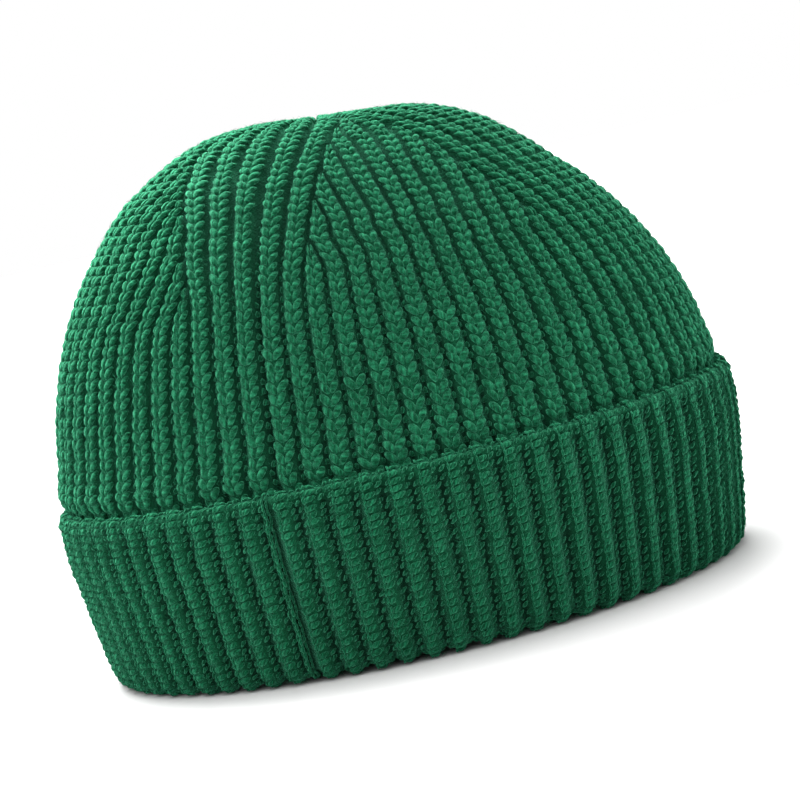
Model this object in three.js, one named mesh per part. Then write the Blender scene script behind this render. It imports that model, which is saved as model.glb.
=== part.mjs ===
// A ribbed knit beanie with a turned-up cuff, in millimetres, +Z up.
// It stands on its rim at z = 0, with +X along the long way of the head oval.
// The crown is the inner layer of cloth, from the fold at the rim up over the head.
// The cuff is the fold itself and the outer layer that comes back up from it.
import * as THREE from 'three';

// Driving dimensions
const headLength = 215; // outside of the cuff at its widest, along X
const headWidth = 163; // the same across, along Y
const hatHeight = 159.5;
const cuffHeight = 57;
const clothThickness = 2.4; // the cloth without the height of its ribs
const crownRib = 2.2; // depth of the grooves between the crown's ribs
const cuffRib = 2; // depth of the grooves between the cuff's ribs
const liningRib = 1.4; // depth of the grooves on the side next to the head
const layerGap = 0.3; // clearance between the two layers of cloth
const foldRise = 4.4; // height of the rounded fold at the rim
const edgeRound = 2; // rounding of the cuff's upper edge

// Ribs: each wedge of the crown has a spine that runs on to the apex and a panel whose ribs end beside it
const wedges = 4;
const spineRibs = 6;
const panelRibs = 12;
const seamRibsLost = 1; // ribs that the back seam takes out of its spine
const seamWidth = 0.35; // extra width at the back seam, in ribs
const seamDepth = 0.5; // how much deeper than a groove the seam lies
const seamTurn = -16.9; // degrees from -Y towards +X where the seam leaves the cuff
const seamSweep = 5.4; // degrees that the seam turns back by the top
const firstDecrease = 0.438; // share of the climb from the cuff to the apex
const decreaseStep = 0.071; // share of the climb between two decreases
const panelSqueeze = 0.8; // width of a panel's rib beside a spine's, near the top

// Colours of the dyed yarn
const crownColour = 0x1b7a50;
const cuffColour = 0x17643f;

const halfLength = headLength / 2;
const cuffOval = headWidth / headLength;
const crownRise = hatHeight - cuffHeight;
const crownLayer = clothThickness + crownRib;
const cuffLayer = clothThickness + cuffRib;
const ribCount = wedges * (spineRibs + panelRibs) - seamRibsLost;

// Outline of the cuff. height: share of cuffHeight. left, right: shares of halfLength to each side.
const cuffOutline = [
  { height: 0.08, left: 0.956, right: 0.944 },
  { height: 0.42, left: 0.98, right: 0.974 },
  { height: 0.86, left: 1.0, right: 1.0 },
  { height: 0.965, left: 0.994, right: 0.994 },
];

// Outline of the crown above the cuff, one row for each level.
// climb: share of the way from the cuff to the apex, along the cloth.
// left, right: shares of halfLength to each side. leftUp, rightUp: shares of crownRise.
// oval: width over length of the level. back: share of halfLength that the level lies towards +Y.
// lining: whether the side next to the head has a row of vertices here too.
const crownOutline = [
  { climb: 0.03, left: 0.987, leftUp: 0.048, right: 0.968, rightUp: 0.049, oval: 0.718, back: 0, lining: false },
  { climb: 0.06, left: 0.973, leftUp: 0.093, right: 0.96, rightUp: 0.094, oval: 0.71, back: 0, lining: true },
  { climb: 0.18, left: 0.934, leftUp: 0.285, right: 0.917, rightUp: 0.275, oval: 0.7, back: 0, lining: true },
  { climb: 0.31, left: 0.865, leftUp: 0.484, right: 0.836, rightUp: 0.456, oval: 0.702, back: 0, lining: true },
  { climb: 0.438, left: 0.762, leftUp: 0.664, right: 0.723, rightUp: 0.619, oval: 0.715, back: 0.002, lining: true },
  { climb: 0.509, left: 0.691, leftUp: 0.753, right: 0.649, rightUp: 0.698, oval: 0.725, back: 0.004, lining: false },
  { climb: 0.58, left: 0.614, leftUp: 0.836, right: 0.574, rightUp: 0.777, oval: 0.735, back: 0.006, lining: true },
  { climb: 0.651, left: 0.521, leftUp: 0.901, right: 0.495, rightUp: 0.85, oval: 0.748, back: 0.009, lining: false },
  { climb: 0.722, left: 0.423, leftUp: 0.955, right: 0.406, rightUp: 0.907, oval: 0.765, back: 0.012, lining: true },
  { climb: 0.793, left: 0.319, leftUp: 0.989, right: 0.306, rightUp: 0.946, oval: 0.785, back: 0.015, lining: false },
  { climb: 0.86, left: 0.217, leftUp: 1, right: 0.208, rightUp: 0.962, oval: 0.805, back: 0.018, lining: true },
  { climb: 0.92, left: 0.124, leftUp: 0.995, right: 0.119, rightUp: 0.967, oval: 0.83, back: 0.022, lining: false },
  { climb: 0.965, left: 0.054, leftUp: 0.979, right: 0.052, rightUp: 0.962, oval: 0.85, back: 0.025, lining: true },
];
const apexUp = 0.945; // share of crownRise at the bottom of the gather
const apexBack = 0.026; // share of halfLength

// Linear reading of a table's column at a key
function readTable(rows, keyName, valueName, key) {
  const last = rows.length - 1;
  let i = 1;
  while (i < last && rows[i][keyName] < key) i += 1;
  const low = rows[i - 1];
  const high = rows[i];
  const share = (key - low[keyName]) / (high[keyName] - low[keyName]);
  return low[valueName] + (high[valueName] - low[valueName]) * share;
}

// One level of the hat: an oval whose plane may tip along X
function makeLevel(climb, left, leftZ, right, rightZ, halfWidth, back) {
  const centre = new THREE.Vector3((right - left) / 2, back, (leftZ + rightZ) / 2);
  const alongX = new THREE.Vector3((left + right) / 2, 0, (rightZ - leftZ) / 2);
  return { climb, centre, alongX, halfWidth };
}

// The level of the cuff's outer side at a height, moved inwards by a distance
function cuffLevel(height, inwards) {
  const share = height / cuffHeight;
  const left = readTable(cuffOutline, 'height', 'left', share) * halfLength;
  const right = readTable(cuffOutline, 'height', 'right', share) * halfLength;
  const halfWidth = ((left + right) / 2) * cuffOval;
  return makeLevel(0, left - inwards, height, right - inwards, height, halfWidth - inwards, 0);
}

// A level of the crown above the cuff
function crownLevel(row) {
  const left = row.left * halfLength;
  const right = row.right * halfLength;
  const leftZ = cuffHeight + row.leftUp * crownRise;
  const rightZ = cuffHeight + row.rightUp * crownRise;
  const halfWidth = ((left + right) / 2) * row.oval;
  const level = makeLevel(row.climb, left, leftZ, right, rightZ, halfWidth, row.back * halfLength);
  return { ...level, lining: row.lining };
}

// Point of a level at an angle from -Y towards +X
function pointOn(level, angle) {
  const point = level.centre.clone().addScaledVector(level.alongX, Math.sin(angle));
  point.y -= level.halfWidth * Math.cos(angle);
  return point;
}

// Angle on a level at a share of its way round, starting from the seam
const ovalSteps = 720;
function angleReader(level, seamAngle) {
  const long = level.alongX.length();
  const ways = [0];
  for (let i = 1; i <= ovalSteps; i += 1) {
    const angle = seamAngle + ((i - 0.5) / ovalSteps) * 2 * Math.PI;
    const step = Math.hypot(long * Math.cos(angle), level.halfWidth * Math.sin(angle));
    ways.push(ways[i - 1] + step);
  }
  const whole = ways[ovalSteps];
  return (share) => {
    const way = share * whole;
    let low = 0;
    let high = ovalSteps;
    while (high - low > 1) {
      const middle = (low + high) >> 1;
      if (ways[middle] <= way) low = middle;
      else high = middle;
    }
    const part = (way - ways[low]) / (ways[high] - ways[low]);
    return seamAngle + ((low + part) / ovalSteps) * 2 * Math.PI;
  };
}

// How many ribs each side of a panel has lost at a climb
function ribsEnded(climb) {
  const ended = Math.floor((climb - firstDecrease) / decreaseStep + 1.001);
  return Math.min(Math.max(ended, 0), panelRibs / 2);
}

// Place of a rib in its wedge: the panel's ribs are counted from 0, and a spine's rib gives -1
function panelPlace(rib) {
  const half = Math.floor(spineRibs / 2);
  const place = (rib + seamRibsLost) % (spineRibs + panelRibs);
  return place >= half && place < half + panelRibs ? place - half : -1;
}

// Width of a rib at a climb, in ribs of a spine
function ribWidth(rib, climb) {
  const place = panelPlace(rib);
  if (place < 0) return 1;
  const ended = ribsEnded(climb);
  if (place < ended || place >= panelRibs - ended) return 0;
  const squeeze = THREE.MathUtils.smoothstep(climb, 0.2, 0.6);
  return 1 + (panelSqueeze - 1) * squeeze;
}

// Shares round a level of each rib's left side, middle and right side, starting at the seam
function ribShares(climb) {
  const ribs = [];
  let way = seamWidth / 2;
  for (let rib = 0; rib < ribCount; rib += 1) {
    const width = ribWidth(rib, climb);
    ribs.push({ start: way, middle: way + width / 2, end: way + width, width });
    way += width;
  }
  const whole = way + seamWidth / 2;
  for (const rib of ribs) {
    rib.start /= whole;
    rib.middle /= whole;
    rib.end /= whole;
  }
  ribs[0].start = 0;
  return ribs;
}

// The seam's angle at a climb
function seamAngleAt(climb) {
  return THREE.MathUtils.degToRad(seamTurn + seamSweep * climb);
}

// A closed surface from rows of vertices that hold one index for each column.
// Columns that share an index leave no triangle between them.
class Surface {
  constructor() {
    this.positions = [];
    this.triangles = [];
  }

  add(point) {
    this.positions.push(point.x, point.y, point.z);
    return this.positions.length / 3 - 1;
  }

  face(a, b, c) {
    if (a !== b && b !== c && c !== a) this.triangles.push(a, b, c);
  }

  // Joins two rows. The second one is above when the surface faces outwards.
  join(below, above) {
    const count = below.length;
    for (let i = 0; i < count; i += 1) {
      const next = (i + 1) % count;
      this.face(below[i], below[next], above[next]);
      this.face(below[i], above[next], above[i]);
    }
  }

  geometry() {
    const geometry = new THREE.BufferGeometry();
    geometry.setAttribute('position', new THREE.Float32BufferAttribute(this.positions, 3));
    geometry.setIndex(this.triangles);
    geometry.computeVertexNormals();
    return geometry;
  }
}

// Outward direction of a level at an angle, read from the levels beside it
function outward(levels, index, angle) {
  const below = levels[Math.max(index - 1, 0)];
  const above = levels[Math.min(index + 1, levels.length - 1)];
  const level = levels[index];
  const round = level.alongX.clone().multiplyScalar(Math.cos(angle));
  round.y += level.halfWidth * Math.sin(angle);
  const climb = pointOn(above, angle).sub(pointOn(below, angle));
  return round.cross(climb).normalize();
}

// One row of the crown's vertices: a groove and a crest for each rib
function crownRow(surface, levels, index, grooveDepth, crestDepth) {
  const level = levels[index];
  const angleAt = angleReader(level, seamAngleAt(level.climb));
  const place = (share, depth) => {
    const angle = angleAt(share);
    return pointOn(level, angle).addScaledVector(outward(levels, index, angle), -depth);
  };
  const row = [];
  ribShares(level.climb).forEach((rib, number) => {
    const seam = number === 0 && grooveDepth > crestDepth ? seamDepth : 0;
    if (rib.width > 0) {
      row.push(surface.add(place(rib.start, grooveDepth + seam)));
      row.push(surface.add(place(rib.middle, crestDepth)));
    } else {
      row.push(null, null);
    }
  });
  return fillEnded(row);
}

// An ended rib's columns take the next standing column's vertex, so that the surface closes over it
function fillEnded(row) {
  const count = row.length;
  const filled = [...row];
  for (let i = 2 * count - 1; i >= 0; i -= 1) {
    const here = i % count;
    if (filled[here] === null) filled[here] = filled[(here + 1) % count];
  }
  return filled;
}

// The crown: outer side from the fold to the apex, then the inner side back down
function makeCrown() {
  const inside = cuffLayer + layerGap;
  const bottom = foldRise + layerGap;
  const middle = cuffHeight * 0.5;
  const top = cuffHeight - edgeRound;
  const hidden = [
    { ...cuffLevel(bottom, inside), lining: true },
    { ...cuffLevel(middle, inside), lining: true },
    { ...cuffLevel(top + layerGap, inside + layerGap), lining: false },
  ];
  const shown = crownOutline.map(crownLevel);
  const levels = [...hidden, ...shown];
  const surface = new Surface();

  const outer = levels.map((level, index) => {
    const visible = index >= hidden.length;
    const fade = 1 - THREE.MathUtils.smoothstep(level.climb, 0.9, 1);
    return crownRow(surface, levels, index, visible ? crownRib * (0.4 + 0.6 * fade) : 0, 0);
  });
  outer.slice(1).forEach((row, i) => surface.join(outer[i], row));
  const apexZ = cuffHeight + apexUp * crownRise;
  const apexY = apexBack * halfLength;
  const apex = surface.add(new THREE.Vector3(0, apexY, apexZ));
  surface.join(outer.at(-1), outer.at(-1).map(() => apex));

  const inner = [];
  levels.forEach((level, index) => {
    if (level.lining) inner.push(crownRow(surface, levels, index, crownLayer, crownLayer - liningRib));
  });
  const innerApex = surface.add(new THREE.Vector3(0, apexY, apexZ - crownLayer + liningRib));
  surface.join(inner.at(-1).map(() => innerApex), inner.at(-1));
  inner.slice(1).forEach((row, i) => surface.join(row, inner[i]));
  surface.join(inner[0], outer[0]);
  return surface.geometry();
}

// Section of the cuff, once round the cloth from the rim up the outer side.
// inwards and height place the row, sink and rise say which way its grooves go, in cuffRib.
function cuffSection() {
  const both = cuffLayer + layerGap + crownLayer;
  const fold = foldRise;
  const lining = liningRib / cuffRib;
  const top = cuffHeight;
  const shoulder = top - edgeRound;
  return [
    { inwards: both * 0.36, height: 0, sink: 0, rise: 0.6 },
    { inwards: both * 0.1, height: fold * 0.3, sink: 0.6, rise: 0.45 },
    { inwards: 0, height: fold, sink: 1, rise: 0 },
    { inwards: 0, height: top * 0.42, sink: 1, rise: 0 },
    { inwards: 0, height: top * 0.86, sink: 1, rise: 0 },
    { inwards: 0, height: shoulder, sink: 0.9, rise: 0 },
    { inwards: cuffLayer * 0.3, height: top, sink: 0.2, rise: -0.5 },
    { inwards: cuffLayer * 0.75, height: top, sink: 0, rise: -0.3 },
    { inwards: cuffLayer, height: shoulder, sink: 0, rise: 0 },
    { inwards: cuffLayer, height: top * 0.5, sink: 0, rise: 0 },
    { inwards: cuffLayer, height: fold, sink: 0, rise: 0 },
    { inwards: both, height: fold, sink: -lining, rise: 0 },
    { inwards: both * 0.9, height: fold * 0.3, sink: -0.6 * lining, rise: 0.45 },
    { inwards: both * 0.64, height: 0, sink: 0, rise: 0.6 },
  ];
}

// The cuff: its ribs stand where the crown has its grooves, because it shows the cloth's other side
const crestHalf = 0.2; // half width of a cuff rib's crest, in ribs
function makeCuff() {
  const surface = new Surface();
  const ribs = ribShares(0);
  const seam = seamAngleAt(0);
  const whole = ribCount + seamWidth;
  const rows = cuffSection().map((section) => {
    const level = cuffLevel(section.height, section.inwards);
    const angleAt = angleReader(cuffLevel(cuffHeight * 0.5, 0), seam);
    const sunk = cuffLevel(section.height, section.inwards + section.sink * cuffRib);
    const row = [];
    for (const rib of ribs) {
      row.push(surface.add(pointOn(level, angleAt(rib.start + crestHalf / whole))));
      const groove = pointOn(sunk, angleAt(rib.middle));
      groove.z += section.rise * cuffRib;
      row.push(surface.add(groove));
      row.push(surface.add(pointOn(level, angleAt(rib.end - crestHalf / whole))));
    }
    return row;
  });
  rows.forEach((row, i) => surface.join(row, rows[(i + 1) % rows.length]));
  return surface.geometry();
}

function makeMesh(name, geometry, color) {
  const material = new THREE.MeshStandardMaterial({ color, roughness: 0.95, metalness: 0 });
  const mesh = new THREE.Mesh(geometry, material);
  mesh.name = name;
  return mesh;
}

const beanie = new THREE.Group();
beanie.name = 'beanie';
beanie.add(makeMesh('crown', makeCrown(), crownColour));
beanie.add(makeMesh('cuff', makeCuff(), cuffColour));

export default beanie;
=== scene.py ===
import math

import bmesh
import bpy
import numpy as np
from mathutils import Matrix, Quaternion, Vector


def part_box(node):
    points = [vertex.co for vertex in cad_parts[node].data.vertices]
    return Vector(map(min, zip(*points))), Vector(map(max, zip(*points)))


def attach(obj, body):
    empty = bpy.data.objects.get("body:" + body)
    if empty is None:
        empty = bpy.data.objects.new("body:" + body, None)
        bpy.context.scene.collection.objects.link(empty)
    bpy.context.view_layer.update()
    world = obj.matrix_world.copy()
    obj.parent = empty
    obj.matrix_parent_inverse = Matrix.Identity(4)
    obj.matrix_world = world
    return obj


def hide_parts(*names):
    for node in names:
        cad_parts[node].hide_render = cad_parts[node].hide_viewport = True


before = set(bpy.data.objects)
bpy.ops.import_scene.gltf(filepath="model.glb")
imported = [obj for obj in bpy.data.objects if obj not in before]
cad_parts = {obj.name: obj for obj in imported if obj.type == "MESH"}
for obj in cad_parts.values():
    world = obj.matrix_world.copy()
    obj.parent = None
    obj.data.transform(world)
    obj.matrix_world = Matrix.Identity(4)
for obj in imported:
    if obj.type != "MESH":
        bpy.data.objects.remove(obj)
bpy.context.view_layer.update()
crownLow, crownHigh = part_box("crown")
cuffLow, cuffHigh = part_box("cuff")
mm = 0.001

# sizes of the hat, read from the two solids, and the cloth's own sizes in millimetres
hat = {
    "halfLength": (cuffHigh.x - cuffLow.x) / 2 / mm,
    "halfWidth": (cuffHigh.y - cuffLow.y) / 2 / mm,
    "cuffHeight": cuffHigh.z / mm,
    "height": crownHigh.z / mm,
    "crownLayer": 4.6,
    "cuffLayer": 4.4,
    "layerGap": 0.3,
    "climbLength": 149.5,  # along the cloth from the cuff's edge to the gather
    "rowPitch": 3.05,
    "cuffRow": 2.25,
    "ribPitch": 8.0,
    "hiddenHeights": (4.7, 12.0, 24.0, 38.0, 48.0, 54.0),  # of the inner layer, behind the cuff
    "deepest": 2.8,  # below the cloth's face, where the painted shade on the yarn is darkest
    "aroundSteps": 720,
}

# cuff outline: height and the reach to each side, as shares of the cuff's height and the half length
cuffOutline = np.array([
    (0.00, 0.948, 0.936),
    (0.08, 0.956, 0.944),
    (0.42, 0.980, 0.974),
    (0.86, 1.000, 1.000),
    (0.965, 0.994, 0.994),
    (1.00, 0.990, 0.990),
])

# crown outline: climb, left reach, left height, right reach, right height, oval, lean towards the back
crownOutline = np.array([
    (0.030, 0.985, 0.048, 0.968, 0.049, 0.718, 0.000),
    (0.060, 0.973, 0.093, 0.960, 0.094, 0.710, 0.000),
    (0.180, 0.934, 0.285, 0.917, 0.275, 0.700, 0.000),
    (0.310, 0.865, 0.484, 0.836, 0.456, 0.702, 0.000),
    (0.438, 0.762, 0.664, 0.723, 0.619, 0.715, 0.002),
    (0.509, 0.691, 0.753, 0.649, 0.698, 0.725, 0.004),
    (0.580, 0.614, 0.836, 0.574, 0.777, 0.735, 0.006),
    (0.651, 0.521, 0.901, 0.495, 0.850, 0.748, 0.009),
    (0.722, 0.423, 0.955, 0.406, 0.907, 0.765, 0.012),
    (0.793, 0.319, 0.989, 0.306, 0.946, 0.785, 0.015),
    (0.860, 0.217, 1.000, 0.208, 0.962, 0.805, 0.018),
    (0.920, 0.124, 0.995, 0.119, 0.967, 0.830, 0.022),
    (0.965, 0.054, 0.979, 0.052, 0.962, 0.850, 0.025),
    (1.000, 0.012, 0.952, 0.012, 0.946, 0.860, 0.026),
])

# ribs: four wedges, each a spine that runs to the gather and a panel whose ribs end beside it
ribs = {
    "wedges": 4,
    "spine": 6,
    "panel": 12,
    "seamLost": 1,
    "cuffSeam": 0.35,  # widths of the seam, in ribs
    "crownSeam": 0.10,
    "seamTurn": -16.9,  # degrees from -Y
    "seamSweep": 5.4,  # degrees that the seam turns on its way up
    "squeeze": 0.8,  # of a panel's ribs, high up
    "fade": 0.072,  # climb over which a rib ends
    "ends": (0.438, 0.509, 0.580, 0.651, 0.722, 0.793),
    "endsRightOfSeam": (0.452, 0.545, 0.618, 0.694, 0.752, 0.800),
    "endsLeftOfSeam": (0.402, 0.470, 0.572, 0.612, 0.650, 0.720),
}
ribCount = ribs["wedges"] * (ribs["spine"] + ribs["panel"]) - ribs["seamLost"]
allRibs = list(range(ribCount))


def smoothStep(x, low, high):
    t = np.clip((x - low) / (high - low), 0, 1)
    return t * t * (3 - 2 * t)


# a curve through the values, without overshoot at the ends
def smoothRead(keys, values, at):
    slopes = np.gradient(values, keys)
    i = np.clip(np.searchsorted(keys, at) - 1, 0, len(keys) - 2)
    span = keys[i + 1] - keys[i]
    t = np.clip((at - keys[i]) / span, 0, 1)
    a = (2 * t**3 - 3 * t**2 + 1) * values[i] + (t**3 - 2 * t**2 + t) * span * slopes[i]
    b = (3 * t**2 - 2 * t**3) * values[i + 1] + (t**3 - t**2) * span * slopes[i + 1]
    return a + b


def cuffReach(height):
    share = height / hat["cuffHeight"]
    left = smoothRead(cuffOutline[:, 0], cuffOutline[:, 1], share) * hat["halfLength"]
    right = smoothRead(cuffOutline[:, 0], cuffOutline[:, 2], share) * hat["halfLength"]
    return left, right, (left + right) / 2 * hat["halfWidth"] / hat["halfLength"]


# points at shares of the way round an oval whose plane may tip along X, starting at the seam
def levelRing(left, leftZ, right, rightZ, halfWidth, back, seamAngle, shares):
    turn = seamAngle + np.linspace(0, 2 * math.pi, hat["aroundSteps"] + 1)
    long = math.hypot((left + right) / 2, (rightZ - leftZ) / 2)
    middle = (turn[1:] + turn[:-1]) / 2
    steps = np.hypot(long * np.cos(middle), halfWidth * np.sin(middle))
    way = np.concatenate([[0], np.cumsum(steps)])
    angle = np.interp(shares, way / way[-1], turn)
    sin = np.sin(angle)
    x = (right - left) / 2 + (left + right) / 2 * sin
    y = back - halfWidth * np.cos(angle)
    z = (leftZ + rightZ) / 2 + (rightZ - leftZ) / 2 * sin
    return np.stack([x, y, z], -1)


# a knitted layer as a table of points: way round (share, from the seam) by climb
class Cloth:
    def __init__(self, climbs, rings, ribEdges):
        self.climbs = climbs
        self.points = np.array(rings)
        around = np.empty_like(self.points)
        around[:, 1:-1] = self.points[:, 2:] - self.points[:, :-2]
        around[:, 0] = around[:, -1] = self.points[:, 1] - self.points[:, -2]
        up = np.gradient(self.points, axis=0)
        normals = np.cross(around, up)
        self.normals = normals / np.maximum(np.linalg.norm(normals, axis=-1, keepdims=True), 1e-9)
        self.edges = ribEdges  # climb by rib: start and end shares

    # the row below a climb, and how far the climb is on to the next
    def rowAt(self, climb):
        rows = np.interp(climb, self.climbs, np.arange(len(self.climbs)))
        row = np.clip(rows.astype(int), 0, len(self.climbs) - 2)
        return row, (rows - row)[:, None]

    def read(self, table, climb, column):
        row, up = self.rowAt(climb)
        left = np.clip(column.astype(int), 0, table.shape[1] - 2)
        on = (column - left)[:, None]
        low = table[row, left] * (1 - on) + table[row, left + 1] * on
        high = table[row + 1, left] * (1 - on) + table[row + 1, left + 1] * on
        return low * (1 - up) + high * up

    # share of the way round at a share across a rib
    def shareRound(self, rib, across, climb):
        row, up = self.rowAt(climb)
        edge = self.edges[row, rib] * (1 - up) + self.edges[row + 1, rib] * up
        return edge[:, 0] + (edge[:, 1] - edge[:, 0]) * (across + 0.5)

    # points at a rib, a share across it (-0.5 to 0.5), a climb, and millimetres outwards
    def place(self, rib, across, climb, out):
        column = (self.shareRound(rib, across, climb) % 1.0) * (self.points.shape[1] - 1)
        point = self.read(self.points, climb, column)
        normal = self.read(self.normals, climb, column)
        normal /= np.maximum(np.linalg.norm(normal, axis=-1, keepdims=True), 1e-9)
        return point + normal * out[:, None]


# climb where a rib of a panel ends, or None for a spine's rib
def ribEnd(rib):
    half = ribs["spine"] // 2
    wedge = ribs["spine"] + ribs["panel"]
    place = (rib + ribs["seamLost"]) % wedge
    if not half <= place < half + ribs["panel"]:
        return None
    place -= half
    turn = (rib + ribs["seamLost"]) // wedge
    inner = min(place, ribs["panel"] - 1 - place)
    if turn == 0 and place < ribs["panel"] // 2:
        return ribs["endsRightOfSeam"][inner]
    if turn == ribs["wedges"] - 1 and place >= ribs["panel"] // 2:
        return ribs["endsLeftOfSeam"][inner]
    return ribs["ends"][inner]


ribEnds = [ribEnd(k) for k in range(ribCount)]
ribStops = np.array([9.0 if end is None else end for end in ribEnds])  # 9: past the top


# how much of its full width a rib still has
def ribFullness(rib, climb):
    return np.clip((ribStops[rib] - climb) / ribs["fade"], 0, 1)


# start and end shares of each rib at each climb
def ribEdgesAt(climbs, seam, turned=0.0):
    widths = np.ones((len(climbs), ribCount))
    squeeze = 1 + (ribs["squeeze"] - 1) * smoothStep(climbs, 0.2, 0.6)
    for k, end in enumerate(ribEnds):
        if end is not None:
            widths[:, k] = squeeze * np.clip((end - climbs) / ribs["fade"], 0, 1)
    # each spine's middle keeps its place, so that the spines run straight up
    wedge = ribs["spine"] + ribs["panel"]
    middles = [0] + [k * wedge - ribs["seamLost"] for k in range(1, ribs["wedges"])] + [ribCount]
    edges = np.zeros((len(climbs), ribCount, 2))
    for low, high in zip(middles[:-1], middles[1:]):
        before = seam / 2 if low == 0 else 0.0
        after = seam / 2 if high == ribCount else 0.0
        part = widths[:, low:high]
        scale = (high - low + before + after) / (part.sum(axis=1) + before + after)
        base = low + seam / 2 - before
        edges[:, low:high, 1] = base + (before + np.cumsum(part, axis=1)) * scale[:, None]
        edges[:, low:high, 0] = edges[:, low:high, 1] - part * scale[:, None]
    edges /= ribCount + seam
    return edges + turned / ribCount


def makeCrownCloth():
    length = hat["climbLength"]
    top = hat["cuffHeight"]
    inside = hat["cuffLayer"] + hat["layerGap"]
    rows = []
    for height in hat["hiddenHeights"]:
        left, right, wide = cuffReach(height)
        climb = (height - top) / length
        rows.append((climb, left - inside, height, right - inside, height, wide - inside, 0.0))
    rise = hat["height"] - top
    for climb, left, leftUp, right, rightUp, oval, back in crownOutline:
        left *= hat["halfLength"]
        right *= hat["halfLength"]
        back *= hat["halfLength"]
        wide = (left + right) / 2 * oval
        rows.append((climb, left, top + leftUp * rise, right, top + rightUp * rise, wide, back))
    rows = np.array(rows)
    climbs = np.linspace(rows[0, 0], 1.0, 320)
    shares = np.linspace(0, 1, hat["aroundSteps"] + 1)
    read = [smoothRead(rows[:, 0], rows[:, i], climbs) for i in range(1, 7)]
    rings = []
    for i, climb in enumerate(climbs):
        seam = math.radians(ribs["seamTurn"] + ribs["seamSweep"] * max(climb, 0))
        rings.append(levelRing(*[r[i] for r in read], seam, shares))
    return Cloth(climbs, rings, ribEdgesAt(climbs, ribs["crownSeam"]))


# once round the cuff's section: the climb runs in millimetres from under the fold, up and over
def makeCuffCloth():
    both = hat["cuffLayer"] + hat["layerGap"] + hat["crownLayer"]
    top = hat["cuffHeight"]
    section = [(both * 0.62, 0.5), (both * 0.42, 0.0), (both * 0.2, 0.55), (both * 0.05, 2.1), (0.0, 4.4)]
    section += [(0.0, h) for h in np.linspace(7, top - 4.5, 14)]
    section += [(0.1, top - 2.4), (0.7, top - 0.9), (1.7, top - 0.1), (2.7, top - 0.1), (3.7, top - 0.9)]
    section += [(4.3, top - 2.4), (4.4, top - 5.0)]
    section = np.array(section)
    way = np.concatenate([[0], np.cumsum(np.hypot(*np.diff(section, axis=0).T))])
    climbs = np.linspace(0, way[-1], 200)
    inwards = np.interp(climbs, way, section[:, 0])
    heights = np.interp(climbs, way, section[:, 1])
    shares = np.linspace(0, 1, hat["aroundSteps"] + 1)
    seam = math.radians(ribs["seamTurn"])
    rings = []
    for inward, height in zip(inwards, heights):
        left, right, wide = cuffReach(np.array(height))
        ring = levelRing(left - inward, height, right - inward, height, wide - inward, 0.0, seam, shares)
        rings.append(ring)
    edges = np.repeat(ribEdgesAt(np.array([0.0]), ribs["cuffSeam"], -0.5), len(climbs), axis=0)
    cloth = Cloth(climbs, rings, edges)
    cloth.top = way[-1]
    return cloth


crownCloth = makeCrownCloth()
cuffCloth = makeCuffCloth()
print("cloth mapped:", ribCount, "ribs")


# stitches

ribStride = 100  # between ribs in a flat swatch, so that they can be told apart


def noise(seed, count):
    return np.random.default_rng(seed).normal(0, 1, count)


# one strand of yarn, knitted flat: x across the rib, y in rows, z outwards in millimetres.
# path: points of (x, y, z, half width across in rib shares, half height in rows, half depth in mm)
def strandMesh(name, path, sides, rings):
    bm = bmesh.new()
    bm.loops.layers.uv.new("UVMap")
    bmesh.ops.create_uvsphere(bm, u_segments=sides, v_segments=rings, radius=1.0, calc_uvs=True)
    path = np.array(path, float)
    keys = np.linspace(-1, 1, len(path))
    for v in bm.verts:
        along = v.co.z
        fat = (1 - abs(along) ** 3) ** 0.5 if abs(along) < 0.999 else 0.0
        ring = math.hypot(v.co.x, v.co.y)
        a, b = (v.co.x / ring, v.co.y / ring) if ring > 1e-6 else (0.0, 0.0)
        x, y, z, halfX, halfY, depth = [np.interp(along, keys, path[:, i]) for i in range(6)]
        v.co = Vector((x + a * fat * halfX, y + a * fat * halfY, z + b * fat * depth))
    bmesh.ops.recalc_face_normals(bm, faces=bm.faces)
    mesh = bpy.data.meshes.new(name)
    bm.to_mesh(mesh)
    bm.free()
    return mesh


def evaluatedCopy(obj, name):
    graph = bpy.context.evaluated_depsgraph_get()
    mesh = bpy.data.meshes.new_from_object(obj.evaluated_get(graph))
    mesh.name = name
    return mesh


# a flat swatch: every strand repeated over the rows and the ribs
def knitRows(name, strands, rows, columns):
    bm = bmesh.new()
    bm.loops.layers.uv.new("UVMap")
    for strand in strands:
        bm.from_mesh(strand)
    mesh = bpy.data.meshes.new(name + "Cell")
    bm.to_mesh(mesh)
    bm.free()
    cell = bpy.data.objects.new(name + "Cell", mesh)
    bpy.context.scene.collection.objects.link(cell)
    for count, offset in ((rows, (0, 1, 0)), (columns, (ribStride, 0, 0))):
        array = cell.modifiers.new("repeat", "ARRAY")
        array.count = count
        array.use_relative_offset = False
        array.use_constant_offset = True
        array.constant_offset_displace = offset
    swatch = evaluatedCopy(cell, name)
    cellSize = len(mesh.vertices)
    bpy.data.objects.remove(cell)
    for strand in strands:
        bpy.data.meshes.remove(strand)
    return swatch, cellSize


def readVerts(mesh):
    co = np.zeros(len(mesh.vertices) * 3)
    mesh.vertices.foreach_get("co", co)
    return co.reshape(-1, 3)


def writeFloats(mesh, name, values):
    layer = mesh.attributes.new(name, "FLOAT", "POINT")
    layer.data.foreach_set("value", values)


def dropVerts(mesh, drop):
    if not drop.any():
        return
    bm = bmesh.new()
    bm.from_mesh(mesh)
    bm.verts.ensure_lookup_table()
    doomed = [bm.verts[i] for i in np.nonzero(drop)[0]]
    bmesh.ops.delete(bm, geom=doomed, context="VERTS")
    bm.to_mesh(mesh)
    bm.free()


# how far up from the deepest yarn a point lies, 0 to 1, which sets the painted shade on deep yarn
def shadeLiftOf(out):
    return np.clip((out + hat["deepest"]) / hat["deepest"], 0, 1)


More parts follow.
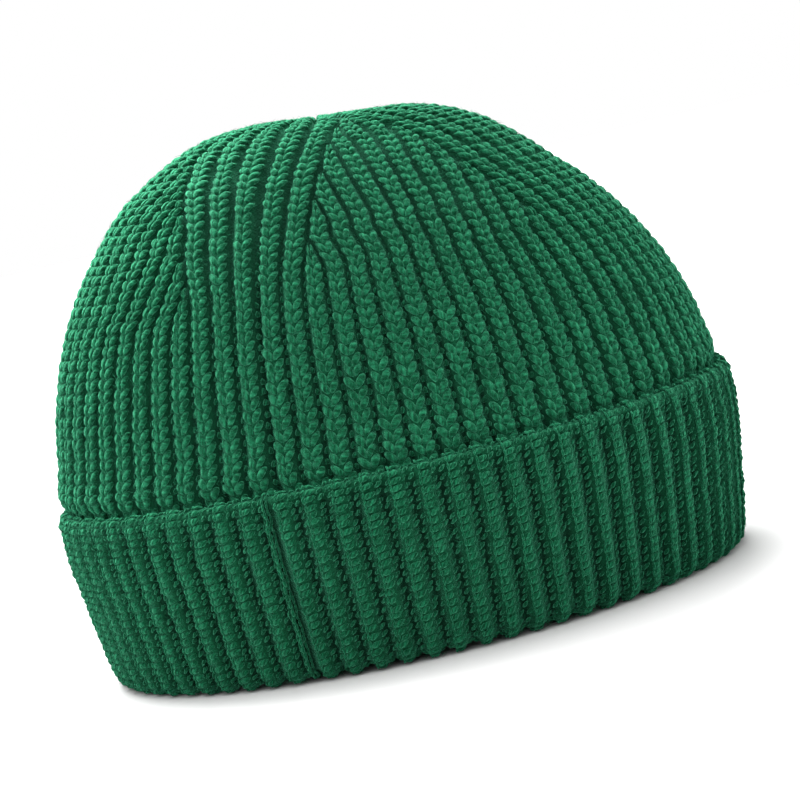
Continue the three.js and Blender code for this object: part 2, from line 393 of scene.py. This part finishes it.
# lays a flat swatch on a cloth. first: climb of its first row. pitch: climb of one row.
def wrapSwatch(mesh, cellSize, rows, cloth, columns, first, pitch, wobble, keep=None, relief=None):
    co = readVerts(mesh)
    cell = np.arange(len(co)) // cellSize
    row = cell % rows
    rib = np.asarray(columns)[cell // rows]
    cells = rows * len(columns)
    across = co[:, 0] - ribStride * (cell // rows)
    jitter = [noise(wobble["seed"] + i, cells)[cell] for i in range(4)]
    across = across * (1 + wobble["size"] * jitter[3]) + wobble["across"] * jitter[0]
    climb = first + (co[:, 1] + wobble["row"] * jitter[1]) * pitch
    centre = first + row * pitch
    out = co[:, 2] + wobble["out"] * jitter[2]
    if relief is not None:
        out = out + relief(rib, across, climb)
    placed = cloth.place(rib, across, climb, out) * mm
    mesh.vertices.foreach_set("co", placed.ravel())
    writeFloats(mesh, "tint", np.clip(0.5 + 0.2 * noise(wobble["seed"] + 9, cells)[cell], 0, 1))
    # painted shade: the lower a point of a strand lies, the darker its colour
    writeFloats(mesh, "shadeLift", shadeLiftOf(co[:, 2]))
    if keep is not None:
        dropVerts(mesh, ~keep(rib, centre))
    mesh.polygons.foreach_set("use_smooth", [True] * len(mesh.polygons))


pieces = []


def addPiece(name, mesh, material, slot, *nodes):
    piece = bpy.data.objects.new(name, mesh)
    bpy.context.scene.collection.objects.link(piece)
    mesh.materials.clear()
    mesh.materials.append(material)
    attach(piece, "root")
    if nodes:
        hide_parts(*nodes)
    pieces.append(piece)
    print(name, "made:", sum(len(p.vertices) - 2 for p in mesh.polygons), "triangles")


# yarn


def nodeAt(tree, kind, **values):
    node = tree.nodes.new(kind)
    for key, value in values.items():
        setattr(node, key, value)
    return node


# dyed wool: plies wound round each strand, fine fibres, and a matt fuzzy sheen; its colour carries
# painted shade on deep yarn and between plies, and painted highlights on ply crowns
def makeYarn(name, look):
    material = bpy.data.materials.new(name)
    material.use_nodes = True
    tree = material.node_tree
    shader = tree.nodes["Principled BSDF"]
    link = tree.links.new

    def calc(operation, *values, clamp=False):
        node = nodeAt(tree, "ShaderNodeMath", operation=operation, use_clamp=clamp)
        for socket, value in zip(node.inputs, values):
            if isinstance(value, (int, float)):
                socket.default_value = value
            else:
                link(value, socket)
        return node.outputs[0]

    uv = nodeAt(tree, "ShaderNodeUVMap", uv_map="UVMap")
    split = nodeAt(tree, "ShaderNodeSeparateXYZ")
    link(uv.outputs[0], split.inputs[0])
    coords = nodeAt(tree, "ShaderNodeTexCoord")
    tint = nodeAt(tree, "ShaderNodeAttribute", attribute_name="tint")
    shadeLift = nodeAt(tree, "ShaderNodeAttribute", attribute_name="shadeLift")

    # plies: a wave that winds round the strand, which raises bumps and also paints shade between the
    # plies and highlights on their crowns
    wind = calc("ADD", calc("MULTIPLY", split.outputs[0], look["plies"]),
                calc("MULTIPLY", split.outputs[1], look["twist"]))
    wind = calc("ADD", wind, calc("MULTIPLY", tint.outputs["Fac"], look["plyShift"]))
    wave = calc("SINE", calc("MULTIPLY", wind, 2 * math.pi))
    ply = calc("MULTIPLY_ADD", wave, 0.5, 0.5)

    fibre = nodeAt(tree, "ShaderNodeTexNoise")
    fibre.inputs["Scale"].default_value = look["fibreScale"]
    fibre.inputs["Detail"].default_value = 4
    fibre.inputs["Roughness"].default_value = 0.7
    link(coords.outputs["Object"], fibre.inputs["Vector"])
    cloud = nodeAt(tree, "ShaderNodeTexNoise")
    cloud.inputs["Scale"].default_value = look["cloudScale"]
    cloud.inputs["Detail"].default_value = 2
    link(coords.outputs["Object"], cloud.inputs["Vector"])

    # fine streaks of painted highlight and shade that run with the plies
    lengthways = nodeAt(tree, "ShaderNodeCombineXYZ")
    link(calc("MULTIPLY", wind, look["streakAcross"]), lengthways.inputs[0])
    link(calc("MULTIPLY", split.outputs[1], look["streakAlong"]), lengthways.inputs[1])
    link(calc("MULTIPLY", tint.outputs["Fac"], look["streakShift"]), lengthways.inputs[2])
    streak = nodeAt(tree, "ShaderNodeTexNoise")
    streak.inputs["Scale"].default_value = 1.0
    streak.inputs["Detail"].default_value = 2
    link(lengthways.outputs[0], streak.inputs["Vector"])
    plyHighlightStreaks = calc("MULTIPLY", calc("SUBTRACT", streak.outputs[0], 0.5), look["streakHighlightContrast"])

    # painted shade and highlight: deep yarn and the gaps between plies are painted dark, ply crowns
    # painted light; loose fibres are light
    shade = calc("MULTIPLY", shadeLift.outputs["Fac"], look["paintedShadeShare"])
    shade = calc("ADD", shade, calc("MULTIPLY", ply, look["plyShadeShare"]))
    sharp = calc("MULTIPLY", calc("SUBTRACT", fibre.outputs[0], 0.5), look["fibreContrast"])
    sharp = calc("ADD", sharp, 0.5)
    shade = calc("ADD", shade, calc("MULTIPLY", sharp, look["fibreShare"]))
    shade = calc("ADD", shade, calc("MULTIPLY", cloud.outputs[0], look["cloudShare"]))
    shade = calc("ADD", shade, calc("MULTIPLY", tint.outputs["Fac"], look["tintShare"]))
    shade = calc("ADD", shade, plyHighlightStreaks)
    shade = calc("ADD", shade, look["offset"], clamp=True)
    ramp = nodeAt(tree, "ShaderNodeValToRGB")
    ramp.color_ramp.elements[0].color = (*look["dark"], 1)
    ramp.color_ramp.elements[1].color = (*look["light"], 1)
    middle = ramp.color_ramp.elements.new(0.55)
    middle.color = (*look["middle"], 1)
    link(shade, ramp.inputs[0])
    link(ramp.outputs[0], shader.inputs["Base Color"])

    height = calc("ADD", calc("MULTIPLY", ply, look["plyHeight"]),
                  calc("MULTIPLY", sharp, look["fibreHeight"]))
    bump = nodeAt(tree, "ShaderNodeBump")
    bump.inputs["Strength"].default_value = look["bump"]
    bump.inputs["Distance"].default_value = mm
    link(height, bump.inputs["Height"])
    link(bump.outputs[0], shader.inputs["Normal"])
    shader.inputs["Roughness"].default_value = look["roughness"]
    shader.inputs["Specular IOR Level"].default_value = look["specular"]
    shader.inputs["Sheen Weight"].default_value = look["sheen"]
    shader.inputs["Sheen Roughness"].default_value = look["sheenRoughness"]
    shader.inputs["Sheen Tint"].default_value = (*look["sheenTint"], 1)
    return material


yarn = {
    "plies": 2.0,
    "twist": 3.2,
    "plyShift": 3.0,  # from one stitch to the next
    "fibreScale": 1300.0,
    "cloudScale": 30.0,
    "streakAcross": 3.4,
    "streakAlong": 4.0,
    "streakShift": 90.0,
    # strength of the painted highlight and shade streaks along the plies
    "streakHighlightContrast": 1.35,
    "fibreContrast": 3.6,
    # painted shade: the next two shares darken deep yarn and the gaps between plies
    "paintedShadeShare": 0.34,
    "plyShadeShare": 0.22,
    "fibreShare": 0.34,
    "cloudShare": 0.12,
    "tintShare": 0.14,
    "offset": -0.08,
    "dark": (0.0001, 0.006, 0.0024),
    "middle": (0.0012, 0.049, 0.0180),
    "light": (0.014, 0.170, 0.078),
    "plyHeight": 0.35,
    "fibreHeight": 0.35,
    "bump": 0.7,
    "roughness": 0.95,
    "specular": 0.03,
    "sheen": 0.44,
    "sheenRoughness": 0.5,
    "sheenTint": (0.20, 1.0, 0.58),
}
crownYarn = makeYarn("crownYarn", yarn)
cuffYarn = makeYarn("cuffYarn", {
    **yarn,
    "middle": (0.0012, 0.054, 0.0200),
    "light": (0.012, 0.163, 0.073),
})
# painted shade: the ground under the stitches is a darker copy of the yarn, darkest deep in the furrows
shadedGroundYarn = makeYarn("shadedGroundYarn", {
    **yarn,
    "plyShadeShare": 0.0,
    "plyHeight": 0.0,
    "streakHighlightContrast": 0.0,
    "paintedShadeShare": 0.95,
    "offset": -0.36,
    "dark": (0.0002, 0.008, 0.0032),
    "middle": (0.0011, 0.038, 0.0140),
    "light": (0.011, 0.142, 0.063),
})
fuzzYarn = makeYarn("fuzzYarn", {
    **yarn,
    "plyShadeShare": 0.0,
    "plyHeight": 0.0,
    "streakHighlightContrast": 0.0,
    "offset": 0.08,
})


# ground of the cloth

weldDistance = 0.02 * mm
crownGroundCloth = {
    "columns": 6,  # per rib
    "shownRows": 52,
    "hiddenRows": 8,
    "insideRows": 48,
    "under": 0.80,  # the ribs' ground lies so far under the face
    "furrow": 2.35,
    "seam": 0.7,
    "insideFurrow": 1.26,
    "insideWave": 0.25,
}
cuffGroundCloth = {
    "columns": 8,
    "under": 0.80,
    "furrow": 2.05,
    "foldFurrow": 0.4,  # share of the furrow's depth at the fold
    "edge": (13.5, 10.0),  # where the furrows close, before the cloth's end
}


# a closed tube of cloth. profile gives millimetres outwards for a column and a row.
# poles: the row that ends at the gather from outside, and the one that starts there inside.
def wrapGrid(name, cloth, profile, columns, climbs, poles=()):
    bm = bmesh.new()
    bm.loops.layers.uv.new("UVMap")
    around = ribCount * columns
    rows = len(climbs)
    bmesh.ops.create_grid(bm, x_segments=around, y_segments=rows - 1, size=0.5, calc_uvs=True)
    bm.verts.ensure_lookup_table()
    co = np.array([v.co[:] for v in bm.verts])
    column = np.rint((co[:, 0] + 0.5) * around).astype(int) % around
    row = np.rint((co[:, 1] + 0.5) * (rows - 1)).astype(int)
    across = (column % columns) / columns - 0.5
    out = profile(column // columns, across, np.asarray(climbs)[row], row)
    placed = cloth.place(column // columns, across, np.asarray(climbs)[row], out) * mm
    # painted shade: the ground's colour darkens with its depth under the face
    shadeLift = bm.verts.layers.float.new("shadeLift")
    tint = bm.verts.layers.float.new("tint")
    for v, point, height in zip(bm.verts, placed, shadeLiftOf(out)):
        v.co = Vector(point)
        v[shadeLift] = height
        v[tint] = 0.5
    if poles:
        # the strip between the two gathers goes, and each gather is drawn to a point
        rings = [[bm.verts[i] for i in np.nonzero(row == pole)[0]] for pole in poles]
        between = set(rings[0]) | set(rings[1])
        strip = [f for f in bm.faces if all(v in between for v in f.verts)]
        bmesh.ops.delete(bm, geom=strip, context="FACES_ONLY")
        for ring in rings:
            middle = sum((v.co for v in ring), Vector()) / len(ring)
            bmesh.ops.pointmerge(bm, verts=ring, merge_co=middle)
    bmesh.ops.remove_doubles(bm, verts=bm.verts, dist=weldDistance)
    bmesh.ops.delete(bm, geom=[e for e in bm.edges if e.is_wire], context="EDGES")
    rim = [e for e in bm.edges if e.is_boundary]
    bmesh.ops.bridge_loops(bm, edges=rim)
    bmesh.ops.recalc_face_normals(bm, faces=bm.faces)
    print(name, "open edges:", sum(not e.is_manifold for e in bm.edges))
    mesh = bpy.data.meshes.new(name)
    bm.to_mesh(mesh)
    bm.free()
    mesh.polygons.foreach_set("use_smooth", [True] * len(mesh.polygons))
    return mesh


def crownGround():
    sizes = crownGroundCloth
    low = crownCloth.climbs[0]
    outer = np.concatenate([np.linspace(low, -0.02, sizes["hiddenRows"]),
                            np.linspace(0.0, 1.0, sizes["shownRows"])])
    inner = np.linspace(1.0, low, sizes["insideRows"])
    climbs = np.concatenate([outer, inner])
    turned = len(outer)

    def profile(rib, across, climb, row):
        groove = smoothStep(np.abs(across), 0.25, 0.5)
        groove = np.maximum(groove, 1 - smoothStep(ribFullness(rib, climb), 0.0, 0.75))
        seam = ((rib == 0) & (across < -0.4)) * sizes["seam"]
        shown = smoothStep(climb, -0.04, 0.01)
        outside = -shown * (sizes["under"] + sizes["furrow"] * groove + seam)
        wave = sizes["insideWave"] * np.sin(climb * hat["climbLength"] / hat["rowPitch"] * 2 * math.pi)
        inside = -hat["crownLayer"] + sizes["insideFurrow"] * groove + wave * (1 - groove)
        return np.where(row < turned, outside, inside)

    mesh = wrapGrid("crownGround", crownCloth, profile, sizes["columns"], climbs, (turned - 1, turned))
    addPiece("crownGround", mesh, shadedGroundYarn, "crown_knit", "crown")


def cuffGround():
    sizes = cuffGroundCloth
    top = cuffCloth.top
    climbs = np.concatenate([np.linspace(0, 12, 12), np.linspace(14, top - 9, 14),
                             np.linspace(top - 8, top, 9)])

    def profile(rib, across, climb, row):
        valley = smoothStep(np.abs(across), 0.14, 0.44)
        fade = 1 - smoothStep(climb, top - sizes["edge"][0], top - sizes["edge"][1])
        past = smoothStep(climb, 0.0, 3.0)
        share = sizes["foldFurrow"] + (1 - sizes["foldFurrow"]) * past
        return -(sizes["under"] + sizes["furrow"] * valley * fade * share)

    mesh = wrapGrid("cuffGround", cuffCloth, profile, sizes["columns"], climbs)
    addPiece("cuffGround", mesh, shadedGroundYarn, "cuff_knit", "cuff")


crownGround()
cuffGround()


# crown stitches

crownStitch = {
    "first": -0.03,
    "rows": 49,
    "purlTop": 0.56,
    "wobble": {"seed": 11, "size": 0.08, "across": 0.012, "row": 0.06, "out": 0.10},
}
crownPitch = hat["rowPitch"] / hat["climbLength"]


# a rib's stitches stop shortly before it ends
def standing(rib, centre):
    return centre < ribStops[rib] - 0.02


def lowRibs(rib, centre):
    return standing(rib, centre) & (centre < crownStitch["purlTop"])


# the two legs of a knit stitch. They rise outwards and tuck under the next row's.
def crownArms():
    arms = []
    for side in (-1, 1):
        path = [
            (side * 0.000, -0.52, -1.05, 0.060, side * -0.17, 0.50),
            (side * 0.080, -0.23, -0.66, 0.084, side * -0.25, 0.66),
            (side * 0.175, 0.08, -0.60, 0.092, side * -0.27, 0.70),
            (side * 0.275, 0.38, -0.85, 0.088, side * -0.26, 0.70),
            (side * 0.365, 0.64, -1.40, 0.074, side * -0.21, 0.62),
        ]
        arms.append(strandMesh("arm", path, 8, 6))
    return arms


# in four pieces, to keep each one light
def crownRibs():
    rows = crownStitch["rows"]
    quarter = ribCount // 4 + 1
    for i in range(4):
        name = "crownRibs%d" % (i + 1)
        columns = allRibs[i * quarter:(i + 1) * quarter]
        wobble = {**crownStitch["wobble"], "seed": crownStitch["wobble"]["seed"] + 40 * i}
        swatch, cellSize = knitRows(name, crownArms(), rows, len(columns))
        wrapSwatch(swatch, cellSize, rows, crownCloth, columns, crownStitch["first"], crownPitch, wobble,
                   standing)
        addPiece(name, swatch, crownYarn, "crown_knit")


def crownPurls():
    path = [(0.36, -0.06, -2.9, 0.0, 0.24, 0.55), (0.5, 0.06, -2.45, 0.0, 0.34, 0.75),
            (0.64, -0.06, -2.9, 0.0, 0.24, 0.55)]
    rows = crownStitch["rows"]
    wobble = {**crownStitch["wobble"], "seed": 311}
    swatch, cellSize = knitRows("crownPurls", [strandMesh("purl", path, 6, 4)], rows, ribCount)

    # higher up the ribs close over their furrows
    def sink(rib, across, climb):
        return -1.3 * smoothStep(climb, 0.25, 0.55)

    wrapSwatch(swatch, cellSize, rows, crownCloth, allRibs, crownStitch["first"], crownPitch, wobble,
               lowRibs, sink)
    addPiece("crownPurls", swatch, crownYarn, "crown_knit")


crownRibs()
crownPurls()


# cuff stitches

cuffStitch = {
    "first": 1.2,
    "rows": 29,
    "wobble": {"seed": 501, "size": 0.08, "across": 0.018, "row": 0.10, "out": 0.11},
    "seamWobble": {"seed": 931, "size": 0.03, "across": 0.004, "row": 0.03, "out": 0.04},
}


# a cord along each rib, and a slanting arm beside it
def cuffRibs():
    ridge = [(-0.15, -0.60, -0.56, 0.040, 0.0, 0.34), (-0.17, 0.0, -0.34, 0.056, 0.0, 0.44),
             (-0.15, 0.60, -0.56, 0.040, 0.0, 0.34)]
    arm = [(-0.18, -0.12, -0.80, 0.0, 0.30, 0.40), (-0.07, -0.03, -0.46, 0.0, 0.44, 0.44),
           (0.07, 0.07, -0.50, 0.0, 0.44, 0.44), (0.23, 0.26, -1.35, 0.0, 0.30, 0.40)]
    return [strandMesh("ridge", ridge, 6, 4), strandMesh("arm", arm, 6, 5)]


# the arcs of yarn in each furrow
def cuffArcs():
    left = [(0.22, -0.36, -1.70, 0.0, 0.26, 0.42), (0.34, 0.0, -1.85, 0.0, 0.36, 0.60),
            (0.47, 0.24, -2.35, 0.0, 0.26, 0.42)]
    right = [(0.52, -0.32, -2.35, 0.0, 0.26, 0.42), (0.66, 0.02, -1.85, 0.0, 0.36, 0.60),
             (0.79, 0.32, -1.60, 0.0, 0.26, 0.42)]
    return [strandMesh("left", left, 5, 4), strandMesh("right", right, 5, 4)]


# the columns close under the cuff's edge
def cuffRelief(rib, across, climb):
    valley = smoothStep(np.abs((across + 0.5) % 1 - 0.5), 0.12, 0.46)
    return (0.3 + 1.35 * valley) * smoothStep(climb, cuffCloth.top - 14, cuffCloth.top - 10.5)


def knitCuff(name, strands, columns, wobble):
    rows = cuffStitch["rows"]
    swatch, cellSize = knitRows(name, strands, rows, len(columns))
    wrapSwatch(swatch, cellSize, rows, cuffCloth, columns, cuffStitch["first"], hat["cuffRow"], wobble,
               None, cuffRelief)
    addPiece(name, swatch, cuffYarn, "cuff_knit")


# a thin extra rib beside the seam, and small beads on both its sides
def seamBeads():
    strands = []
    for x, y, z, wide in ((-0.68, 0.0, -1.0, 0.07), (-0.80, 0.4, -1.8, 0.05), (-0.56, 0.4, -1.8, 0.05)):
        path = [(x, y - 0.7, z - 0.6, wide * 0.8, 0.0, 0.4), (x, y, z, wide, 0.0, 0.65),
                (x, y + 0.7, z - 0.6, wide * 0.8, 0.0, 0.4)]
        strands.append(strandMesh("bead", path, 6, 5))
    return strands


knitCuff("cuffRibs", cuffRibs(), allRibs, cuffStitch["wobble"])
knitCuff("cuffArcs", cuffArcs(), allRibs, {**cuffStitch["wobble"], "seed": 701})
knitCuff("cuffSeam", seamBeads(), [0], cuffStitch["seamWobble"])


# loose fibres

fuzz = {
    "rows": 150,
    "crownColumns": 78,
    "cuffColumns": 40,
    "length": 2.3,
    "radius": 0.085,
    "size": (0.5, 1.2),
    "tilt": (2, 26),
    "start": -0.15,
    "furrow": 1.6,
}


# thin closed spikes that lie over the stitches in every direction
def wrapFuzz(name, cloth, columns, climbSpan, climbScale, seed, slot):
    bm = bmesh.new()
    bmesh.ops.create_cone(bm, segments=3, radius1=fuzz["radius"], radius2=0.0, depth=fuzz["length"],
                          cap_ends=True)
    spike = bpy.data.meshes.new("spike")
    bm.to_mesh(spike)
    bm.free()
    mesh, cellSize = knitRows(name, [spike], fuzz["rows"], columns)
    co = readVerts(mesh)
    cell = np.arange(len(co)) // cellSize
    cells = fuzz["rows"] * columns
    co[:, 0] -= ribStride * (cell // fuzz["rows"])
    co[:, 1] -= cell % fuzz["rows"]
    draw = np.random.default_rng(seed)
    turn = draw.uniform(0, 2 * math.pi, cells)[cell]
    tilt = np.radians(draw.uniform(*fuzz["tilt"], cells))[cell]
    size = draw.uniform(*fuzz["size"], cells)[cell]
    rib = draw.integers(0, ribCount, cells)[cell]
    middle = draw.uniform(*climbSpan, cells)[cell]
    across = draw.uniform(-0.5, 0.5, cells)[cell]
    along = (co[:, 2] + fuzz["length"] / 2) * size
    flat = along * np.cos(tilt)
    x = flat * np.cos(turn) - co[:, 1] * np.sin(turn)
    y = flat * np.sin(turn) + co[:, 1] * np.cos(turn)
    groove = smoothStep(np.abs(across), 0.25, 0.5)
    out = fuzz["start"] - fuzz["furrow"] * groove + along * np.sin(tilt) + co[:, 0] * np.cos(tilt)
    climb = np.clip(middle + y * climbScale, *climbSpan)
    placed = cloth.place(rib, across + x / hat["ribPitch"], climb, out) * mm
    mesh.vertices.foreach_set("co", placed.ravel())
    writeFloats(mesh, "tint", draw.uniform(0.2, 0.8, cells)[cell])
    # painted shade: fibres that lie in the furrows are darker
    writeFloats(mesh, "shadeLift", 1 - 0.7 * groove)
    if cloth is crownCloth:
        dropVerts(mesh, ~standing(rib, middle))
    addPiece(name, mesh, fuzzYarn, slot)


wrapFuzz("crownFuzz", crownCloth, fuzz["crownColumns"], (-0.02, 0.99), 1 / hat["climbLength"], 71,
         "crown_knit")
wrapFuzz("cuffFuzz", cuffCloth, fuzz["cuffColumns"], (3.0, cuffCloth.top - 4), 1.0, 72, "cuff_knit")


# floor, light and camera

studio = {
    "floorHalf": 6.0,
    "floorColour": (0.54, 0.54, 0.54),
    "world": 1.0,
    "key": 4.0,
    "keySpread": 60,
    "keyFrom": (-0.12, 0.10, 1.0),
    "rim": 5.2,
    "rimSpread": 50,
    "rimFrom": (-0.22, 0.80, 0.75),
    "window": 1.15,
    "windowPlace": (-0.105, 0.035, 0.255),
    "windowAim": (-0.050, -0.025, 0.145),
    "windowSize": 0.13,
}


def makeFloor():
    bm = bmesh.new()
    bmesh.ops.create_grid(bm, x_segments=2, y_segments=2, size=studio["floorHalf"])
    mesh = bpy.data.meshes.new("floor")
    bm.to_mesh(mesh)
    bm.free()
    floor = bpy.data.objects.new("floor", mesh)
    bpy.context.scene.collection.objects.link(floor)
    material = bpy.data.materials.new("paleFloor")
    material.use_nodes = True
    shader = material.node_tree.nodes["Principled BSDF"]
    shader.inputs["Base Color"].default_value = (*studio["floorColour"], 1)
    shader.inputs["Roughness"].default_value = 0.9
    mesh.materials.append(material)


def sunLight(name, direction, strength, spread):
    data = bpy.data.lights.new(name, "SUN")
    data.energy = strength
    data.angle = math.radians(spread)
    lamp = bpy.data.objects.new(name, data)
    lamp.location = direction
    lamp.rotation_euler = Vector(direction).to_track_quat("Z", "Y").to_euler()
    bpy.context.scene.collection.objects.link(lamp)


# a soft light close to the crown's upper left
def windowLight():
    data = bpy.data.lights.new("window", "AREA")
    data.energy = studio["window"]
    data.size = studio["windowSize"]
    lamp = bpy.data.objects.new("window", data)
    lamp.location = studio["windowPlace"]
    toLamp = Vector(studio["windowPlace"]) - Vector(studio["windowAim"])
    lamp.rotation_euler = toLamp.to_track_quat("Z", "Y").to_euler()
    lamp.visible_camera = False
    bpy.context.scene.collection.objects.link(lamp)


makeFloor()
world = bpy.data.worlds.new("studio")
world.use_nodes = True
world.node_tree.nodes["Background"].inputs[0].default_value = (1, 1, 1, 1)
world.node_tree.nodes["Background"].inputs[1].default_value = studio["world"]
bpy.context.scene.world = world
sunLight("key", studio["keyFrom"], studio["key"], studio["keySpread"])
sunLight("rim", studio["rimFrom"], studio["rim"], studio["rimSpread"])
windowLight()

view = {
    "distance": 740.0,
    "azimuth": 3.77,
    "height": 148.1,
    "aimX": 5.28,
    "aimZ": 65.91,
    "roll": 13.68,
    "lens": 107.3,
}


def makeCamera():
    turn = math.radians(view["azimuth"])
    sin, cos = math.sin(turn), math.cos(turn)
    place = Vector((view["distance"] * sin, -view["distance"] * cos, view["height"])) * mm
    aim = Vector((view["aimX"] * cos, view["aimX"] * sin, view["aimZ"])) * mm
    data = bpy.data.cameras.new("camera")
    data.lens = view["lens"]
    data.sensor_width = 36
    data.clip_start = 0.01
    camera = bpy.data.objects.new("camera", data)
    camera.location = place
    camera.rotation_mode = "QUATERNION"
    straight = (aim - place).to_track_quat("-Z", "Y")
    camera.rotation_quaternion = straight @ Quaternion((0, 0, 1), -math.radians(view["roll"]))
    bpy.context.scene.collection.objects.link(camera)
    bpy.context.scene.camera = camera


makeCamera()
bpy.context.scene.view_settings.view_transform = "Standard"

print("triangles in all:", sum(len(p.vertices) - 2 for o in pieces for p in o.data.polygons))
